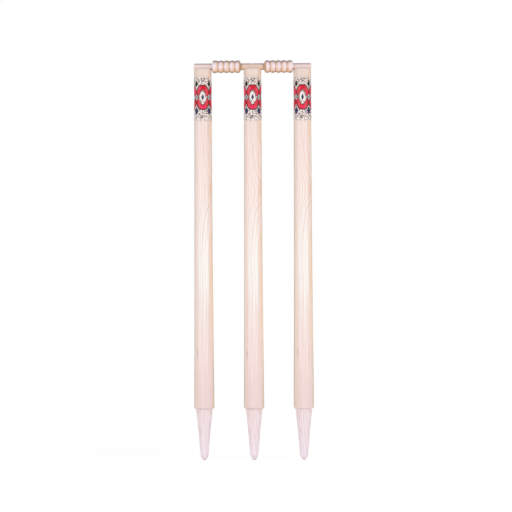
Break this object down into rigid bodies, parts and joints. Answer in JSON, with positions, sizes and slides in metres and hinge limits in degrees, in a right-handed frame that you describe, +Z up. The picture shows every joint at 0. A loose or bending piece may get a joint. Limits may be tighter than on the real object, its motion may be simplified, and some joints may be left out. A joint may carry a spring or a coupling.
{
  "type": "cricket stumps",
  "caption": "Wooden cricket wicket: tapered stumps with domed, grooved crowns and pointed ground spikes, joined by turned bails with beaded barrels that lie loose in the grooves.",
  "frame": {"origin": "on the middle stump's axis, in the ground plane where the stumps' shoulders rest on the turf", "axes": "+Z up along the stumps, +X along the wicket from the left stump to the right stump, and -Y towards the bowler, who sees the front of the printed bands"},
  "size_m": [0.2336, 0.0396, 0.7793],
  "materials": {
    "stump_wood": "clear satin lacquer on pale straight-grained ash",
    "bail_wood": "clear satin lacquer on turned ash, darker in the valleys",
    "band_film": "thin printed transfer film under lacquer"
  },
  "bodies": {
    "middle_stump": {"middle_stump": "stump_wood", "middle_band": "band_film"},
    "left_stump": {"left_stump": "stump_wood", "left_band": "band_film"},
    "right_stump": {"right_stump": "stump_wood", "right_band": "band_film"},
    "left_bail": {"left_bail": "bail_wood"},
    "right_bail": {"right_bail": "bail_wood"}
  },
  "joints": [
    {"name": "left_stump_pull", "type": "slide", "parent": "middle_stump", "child": "left_stump", "axis": [0, 0, 1], "range_m": [0, 0.11]},
    {"name": "right_stump_pull", "type": "slide", "parent": "middle_stump", "child": "right_stump", "axis": [0, 0, 1], "range_m": [0, 0.11]},
    {"name": "left_bail_lift", "type": "slide", "parent": "left_stump", "child": "left_bail", "axis": [0, 0, 1], "range_m": [0, 0.05]},
    {"name": "right_bail_lift", "type": "slide", "parent": "right_stump", "child": "right_bail", "axis": [0, 0, 1], "range_m": [0, 0.05]}
  ]
}
